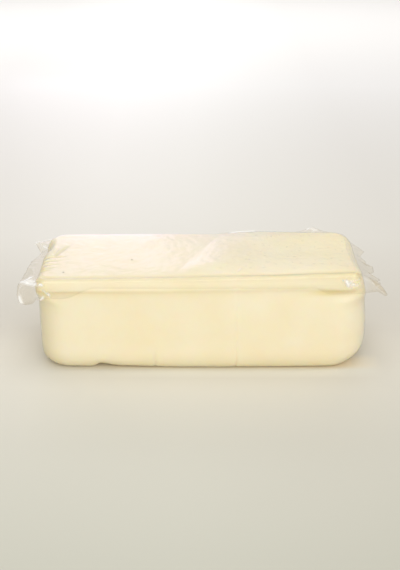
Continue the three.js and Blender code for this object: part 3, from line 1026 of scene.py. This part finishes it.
def cheese_material(finishes):
    """Pale curd: soft, faintly mottled, a little translucent, with painted shade deeper in its folds and
    dimmer low down.
    """
    material, tree, output, place = new_material("cheese")
    clouds = tree.add("ShaderNodeTexNoise", Vector=place, Scale=26.0, Detail=3.0, Roughness=0.55)
    mottle = tree.spread(clouds.outputs["Fac"], *MOTTLE_RANGE)
    colour = tree.mix_colour(mottle, finishes.cheese, finishes.cheese_deep)
    # Painted shade in folds and under the bead, and a deeper tone low down and to the right
    colour = tree.mix_colour(tree.mark(SHADE_AND_TONE_MARK), colour, finishes.cheese_shade_and_tone)
    # Painted shade that dims the cheese in the groove and low down
    colour = tree.mix_colour(tree.mark(SHADE_MARK), colour, finishes.cheese_shade, "MULTIPLY")
    curd = tree.add("ShaderNodeTexNoise", Vector=place, Scale=420.0, Detail=2.0)
    bump = tree.add("ShaderNodeBump", Strength=0.15, Distance=0.0004, Height=curd.outputs["Fac"])
    skin = tree.add(
        "ShaderNodeBsdfPrincipled", Base_Color=colour, Roughness=0.55, Normal=bump.outputs["Normal"],
        Subsurface_Weight=0.5, Subsurface_Radius=(1.0, 0.7, 0.35), Subsurface_Scale=0.006,
        Specular_IOR_Level=0.3,
    )
    tree.put(output, "Surface", skin.outputs["BSDF"])
    return material


def film_material(name, finishes, roughness, wrinkle, most_gloss):
    """Clear film: see-through, glossier towards grazing angles, and white along its creases and painted
    highlights.
    """
    material, tree, output, place = new_material(name)
    ripple = tree.add("ShaderNodeTexNoise", Vector=place, Scale=160.0, Detail=2.0)
    bump = tree.add("ShaderNodeBump", Strength=wrinkle, Distance=0.0008, Height=ripple.outputs["Fac"])
    normal = bump.outputs["Normal"]
    facing = tree.add("ShaderNodeLayerWeight", Blend=0.5, Normal=normal).outputs["Facing"]
    grazing = tree.math("POWER", facing, GLOSS_POWER)
    share = tree.spread(grazing, 0.0, 1.0, LEAST_GLOSS * most_gloss, most_gloss)
    share = tree.times(share, tree.spread(tree.mark(DULL_MARK), 0.0, 1.0, 1.0, DULL_GLOSS))
    tint = tree.mix_colour(tree.mark(HANGING_MARK), finishes.skin_tint, finishes.margin_tint)
    # Painted dark line along the margin's free edge
    tint = tree.mix_colour(tree.mark(RIM_MARK), tint, finishes.margin_rim)
    clear = tree.add("ShaderNodeBsdfTransparent", Color=tint)
    gloss = tree.add("ShaderNodeBsdfAnisotropic", Roughness=roughness, Normal=normal)
    film = tree.mix_shader(share, clear.outputs["BSDF"], gloss.outputs["BSDF"])
    # White that whitens the creases and paints highlights and glints on the film
    white = tree.add("ShaderNodeBsdfDiffuse", Color=finishes.crease)
    whitened = tree.times(tree.mark(CREASE_AND_HIGHLIGHT_MARK), CREASE_AND_HIGHLIGHT_WHITENESS)
    film = tree.mix_shader(whitened, film, white.outputs["BSDF"])
    tree.put(output, "Surface", film)
    return material


def skin_film(name, finishes):
    """The film that clings to the cheese and over its bubbles."""
    return film_material(name, finishes, roughness=0.25, wrinkle=0.1, most_gloss=1.0)


def margin_film(finishes):
    """The stiffer film of the margin, with a sharper but weaker gloss."""
    return film_material("film_edge", finishes, roughness=0.1, wrinkle=0.2, most_gloss=0.35)


def speck_material(finishes):
    """Small brown specks, uneven in tone."""
    material, tree, output, place = new_material("speck")
    grain = tree.add("ShaderNodeTexNoise", Vector=place, Scale=2500.0)
    tones = tree.spread(grain.outputs["Fac"], *SPECK_GRAIN, *SPECK_TONES)
    tone = tree.add("ShaderNodeHueSaturation", Color=finishes.speck, Value=tones)
    skin = tree.add("ShaderNodeBsdfPrincipled", Roughness=0.6, Base_Color=tone.outputs["Color"])
    tree.put(output, "Surface", skin.outputs["BSDF"])
    return material


def floor_material(finishes):
    """Pale matt studio floor with painted light and shade: lighter at the back, lit in front of the loaf,
    dimmed aside and behind.
    """
    material, tree, output, place = new_material("floor")
    near, middle, far = FLOOR_DEPTHS
    across, depth, _ = tree.add("ShaderNodeSeparateXYZ", Vector=place).outputs
    # Painted light: lighter towards the back
    colour = tree.mix_colour(tree.spread(depth, near, middle), finishes.floor_near, finishes.floor_middle)
    colour = tree.mix_colour(tree.spread(depth, middle, far), colour, finishes.floor_far)
    aside = tree.math("ABSOLUTE", tree.math("SUBTRACT", across, SHADE_X), 0.0)
    behind = tree.times(tree.spread(depth, *DIP_START), tree.spread(depth, *DIP_END, 1.0, 0.0))
    lit = tree.times(tree.spread(across, *GLOW_LEFT), tree.spread(across, *GLOW_RIGHT))
    lit = tree.times(lit, tree.spread(depth, *GLOW_END, 1.0, 0.0))
    # Painted light from the loaf's front and lower edge
    for start, glow in ((GLOW_START, finishes.floor_glow), (CONTACT_START, finishes.floor_contact)):
        share = tree.times(lit, tree.spread(depth, *start))
        colour = tree.mix_colour(share, colour, glow)
    # Painted shade aside and behind the loaf
    for share in (tree.spread(aside, *SHADE_REACH), behind):
        colour = tree.mix_colour(share, colour, finishes.floor_shade, "MULTIPLY")
    skin = tree.add("ShaderNodeBsdfPrincipled", Base_Color=colour, Roughness=0.6, Specular_IOR_Level=0.1)
    tree.put(output, "Surface", skin.outputs["BSDF"])
    return material


def bubble_tree(material):
    """Geometry nodes that strew flat bubbles over a patch of film, and the names of its inputs' sockets."""
    group = bpy.data.node_groups.new("film_bubbles", "GeometryNodeTree")
    interface = group.interface
    interface.new_socket("Patch", in_out="INPUT", socket_type="NodeSocketGeometry")
    kinds = {"Density": "NodeSocketFloat", "Radius": "NodeSocketFloat", "Seed": "NodeSocketInt"}
    sockets = {}
    for name, kind in kinds.items():
        sockets[name] = interface.new_socket(name, in_out="INPUT", socket_type=kind).identifier
    interface.new_socket("Bubbles", in_out="OUTPUT", socket_type="NodeSocketGeometry")
    tree = Tree(group)
    given = tree.add("NodeGroupInput").outputs
    share = tree.add("GeometryNodeInputNamedAttribute", {"data_type": "FLOAT"}, Name=BUBBLE_MARK)
    density = tree.times(share.outputs["Attribute"], given["Density"])
    strewn = tree.add(
        "GeometryNodeDistributePointsOnFaces", Mesh=given["Patch"], Density=density, Seed=given["Seed"]
    )
    # Inputs 2 and 3 and output 1 of the draw are those for plain numbers
    draw = tree.add("FunctionNodeRandomValue", {"data_type": "FLOAT"}, Seed=given["Seed"])
    tree.put(draw, 2, BUBBLE_LEAST_RADIUS)
    tree.put(draw, 3, 1.0)
    radius = tree.times(draw.outputs[1], given["Radius"])
    size = tree.add("ShaderNodeCombineXYZ", X=radius, Y=radius, Z=tree.times(radius, BUBBLE_FLATNESS))
    ball = tree.add("GeometryNodeMeshUVSphere", Segments=BUBBLE_SEGMENTS, Rings=BUBBLE_RINGS, Radius=1.0)
    lowered = (0.0, 0.0, -BUBBLE_SINK)
    sunk = tree.add("GeometryNodeTransform", Geometry=ball.outputs["Mesh"], Translation=lowered)
    placed = tree.add(
        "GeometryNodeInstanceOnPoints", Points=strewn.outputs["Points"], Instance=sunk.outputs["Geometry"],
        Rotation=strewn.outputs["Rotation"], Scale=size.outputs["Vector"],
    )
    smooth = tree.add("GeometryNodeSetShadeSmooth", Geometry=placed.outputs["Instances"])
    real = tree.add("GeometryNodeRealizeInstances", Geometry=smooth.outputs["Geometry"])
    dressed = tree.add("GeometryNodeSetMaterial", Geometry=real.outputs["Geometry"], Material=material)
    tree.add("NodeGroupOutput", Bubbles=dressed.outputs["Geometry"])
    return group, sockets


def bubbly(grid):
    """How thickly bubbles lie at each point of the top: more towards the right, none near the rim."""
    x, y, _ = np.moveaxis(grid, 2, 0)
    return blend(BUBBLE_LEAST, 1.0, ramp(*BUBBLE_X_RAMP, x)) * ramp(*BUBBLE_EDGE_RAMP, np.abs(y))


def speck_points(top, x, y, radius):
    """Points and faces of a lumpy flat speck that lies on the top at a place."""
    shape = bmesh.new()
    bmesh.ops.create_icosphere(shape, subdivisions=2, radius=1.0)
    points = np.array([vertex.co for vertex in shape.verts])
    faces = [tuple(vertex.index for vertex in face.verts) for face in shape.faces]
    shape.free()
    lumps = 1 + SPECK_LUMPS * soft_noise(points, SPECK_LUMP_SIZE, x)
    nearest = np.argmin(np.hypot(top[:, 0] - x, top[:, 1] - y))
    return top[nearest] + points * lumps[:, None] * radius * np.array([1, 1, SPECK_FLATNESS]), faces


class CHEESE_OT_make_loaf(bpy.types.Operator):
    """Make the cheese loaf that fills the pack"""

    bl_idname = "cheese.make_loaf"
    bl_label = "Cheese loaf"

    def execute(self, context):
        scene = context.scene
        grid, normals = packed_loaf(scene)
        inner = grid - normals * scene.cheese_film.cling / MM
        material = cheese_material(scene.cheese_finish)
        loaf = loaf_sizes(scene)
        # Marks of painted shade and deeper tone for the cheese
        marks = {SHADE_AND_TONE_MARK: shade_and_tone(loaf, grid), SHADE_MARK: painted_shade_share(loaf, grid)}
        cheese = grid_piece("cheese", inner, material, marks, SLIVER)
        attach(cheese, "root")
        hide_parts("cheese_loaf")
        return {"FINISHED"}


class CHEESE_OT_make_skin(bpy.types.Operator):
    """Make the film skin that clings to the loaf"""

    bl_idname = "cheese.make_skin"
    bl_label = "Film skin"

    def execute(self, context):
        grid, _ = packed_loaf(context.scene)
        material = skin_film("film_skin", context.scene.cheese_finish)
        # Dull film, and whitened creases with painted highlights, on the skin
        marks = {DULL_MARK: dull_share(grid), CREASE_AND_HIGHLIGHT_MARK: crease_and_highlight_marks(grid)}
        skin = grid_piece("film_skin", grid, material, marks, SLIVER)
        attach(skin, "root")
        return {"FINISHED"}


class CHEESE_OT_make_margin(bpy.types.Operator):
    """Make the sealed margin of the film round the top edge"""

    bl_idname = "cheese.make_margin"
    bl_label = "Film margin"

    def execute(self, context):
        scene = context.scene
        film = scene.cheese_film
        stations = outline_stations(MARGIN_STEPS)
        grid, whitened = margin_grid(loaf_sizes(scene), stations, film.crumple / MM)
        hanging = np.tile(hanging_share(stations), (HANG_ROWS, 1))
        # Whitened ridges and creases, with painted highlights, on the margin
        white = np.maximum(whitened, crease_and_highlight_marks(grid))
        marks = {HANGING_MARK: hanging, CREASE_AND_HIGHLIGHT_MARK: white, RIM_MARK: rim_share(hanging)}
        material = margin_film(scene.cheese_finish)
        piece = sheet_piece("clear_margin", grid, film.sheet / MM, material, marks)
        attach(piece, "root")
        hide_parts("film_margin")
        return {"FINISHED"}


class CHEESE_OT_make_bubbles(bpy.types.Operator):
    """Strew small flat bubbles under the film of the top"""

    bl_idname = "cheese.make_bubbles"
    bl_label = "Film bubbles"

    def execute(self, context):
        film = context.scene.cheese_film
        top = packed_loaf(context.scene)[0][-CROWN_ROWS:]
        material = skin_film("film_bubble", context.scene.cheese_finish)
        bubbles = grid_piece("film_bubbles", top, material, {BUBBLE_MARK: bubbly(top)})
        strewing = bubbles.modifiers.new("strewing", "NODES")
        strewing.node_group, sockets = bubble_tree(material)
        strewing[sockets["Density"]] = film.bubble_density
        strewing[sockets["Radius"]] = film.bubble_radius
        strewing[sockets["Seed"]] = film.bubble_seed
        patch = bubbles.data
        made = bubbles.evaluated_get(context.evaluated_depsgraph_get())
        bubbles.data = bpy.data.meshes.new_from_object(made)
        bubbles.modifiers.remove(strewing)
        bpy.data.meshes.remove(patch)
        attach(bubbles, "root")
        return {"FINISHED"}


class CHEESE_OT_make_specks(bpy.types.Operator):
    """Lay two small specks on the top of the loaf"""

    bl_idname = "cheese.make_specks"
    bl_label = "Specks"

    def execute(self, context):
        top = packed_loaf(context.scene)[0][-CROWN_ROWS:].reshape(-1, 3)
        points, faces = [], []
        for speck in SPECKS:
            places, corners = speck_points(top, *speck)
            faces += [tuple(corner + sum(map(len, points)) for corner in face) for face in corners]
            points.append(places)
        material = speck_material(context.scene.cheese_finish)
        specks = new_piece("specks", np.concatenate(points), faces, material)
        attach(specks, "root")
        return {"FINISHED"}


class CHEESE_OT_set_stage(bpy.types.Operator):
    """Set the floor, the light and the camera"""

    bl_idname = "cheese.set_stage"
    bl_label = "Stage"

    def execute(self, context):
        scene = context.scene
        settings = scene.cheese_stage
        self.add_floor(scene)
        for name, lamp in LAMPS.items():
            self.add_light(scene, name, lamp, getattr(settings, name))
        self.add_camera(scene, settings)
        world = bpy.data.worlds.new("studio")
        world.use_nodes = True
        room = world.node_tree.nodes["Background"].inputs
        room["Strength"].default_value = settings.room_light
        room["Color"].default_value = (1.0, 1.0, 1.0, 1.0)
        scene.world = world
        scene.view_settings.view_transform = "Standard"
        return {"FINISHED"}

    def add_floor(self, scene):
        """A wide level floor."""
        mesh = bpy.data.meshes.new("floor")
        corners = [(x * FLOOR_REACH, y * FLOOR_REACH, 0) for x, y in ((-1, -1), (1, -1), (1, 1), (-1, 1))]
        mesh.from_pydata(corners, [], [(0, 1, 2, 3)])
        mesh.materials.append(floor_material(scene.cheese_finish))
        floor = bpy.data.objects.new("floor", mesh)
        scene.collection.objects.link(floor)

    def add_light(self, scene, name, lamp, power):
        """A rectangular soft light that faces its target."""
        data = bpy.data.lights.new(name, "AREA")
        data.shape = "RECTANGLE"
        data.size, data.size_y = lamp.size
        data.color = lamp.colour
        data.energy = power
        light = bpy.data.objects.new(name, data)
        light.location = lamp.place
        light.visible_camera = False
        light.visible_diffuse = lamp.lights
        light.visible_glossy = lamp.gleams
        aim = Vector(lamp.target) - Vector(lamp.place)
        light.rotation_euler = aim.to_track_quat("-Z", "Y").to_euler()
        scene.collection.objects.link(light)

    def add_camera(self, scene, settings):
        """The camera at the photograph's place and angle."""
        data = bpy.data.cameras.new("camera")
        data.sensor_width = SENSOR_MM
        data.lens = settings.focal_pixels / max(PHOTO_WIDTH, PHOTO_HEIGHT) * SENSOR_MM
        camera = bpy.data.objects.new("camera", data)
        camera.location = settings.camera_place
        camera.rotation_euler = (math.pi / 2 - settings.camera_pitch, 0, 0)
        scene.collection.objects.link(camera)
        scene.camera = camera


class CHEESE_PT_pack(bpy.types.Panel):
    """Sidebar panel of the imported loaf"""

    bl_label = "Mozzarella loaf"
    bl_idname = "CHEESE_PT_pack"
    bl_space_type = "VIEW_3D"
    bl_region_type = "UI"
    bl_category = "Cheese"

    def draw(self, context):
        for group in GROUPS:
            settings = getattr(context.scene, group)
            box = self.layout.box()
            for name in settings.__annotations__:
                box.prop(settings, name)
        for operator in OPERATORS:
            self.layout.operator(operator.bl_idname)


GROUPS = {
    "cheese_loaf": LoafSizes,
    "cheese_film": FilmSizes,
    "cheese_finish": Finishes,
    "cheese_stage": StageSettings,
}
OPERATORS = (
    CHEESE_OT_make_loaf,
    CHEESE_OT_make_skin,
    CHEESE_OT_make_margin,
    CHEESE_OT_make_bubbles,
    CHEESE_OT_make_specks,
    CHEESE_OT_set_stage,
)
CLASSES = (*GROUPS.values(), *OPERATORS, CHEESE_PT_pack)


def register():
    for item in CLASSES:
        bpy.utils.register_class(item)
    for name, group in GROUPS.items():
        setattr(bpy.types.Scene, name, PointerProperty(type=group))


def unregister():
    for name in GROUPS:
        delattr(bpy.types.Scene, name)
    for item in reversed(CLASSES):
        bpy.utils.unregister_class(item)


def main():
    register()
    bpy.ops.cheese.make_loaf()
    bpy.ops.cheese.make_skin()
    bpy.ops.cheese.make_margin()
    bpy.ops.cheese.make_bubbles()
    bpy.ops.cheese.make_specks()
    bpy.ops.cheese.set_stage()


if __name__ == "__main__":
    main()
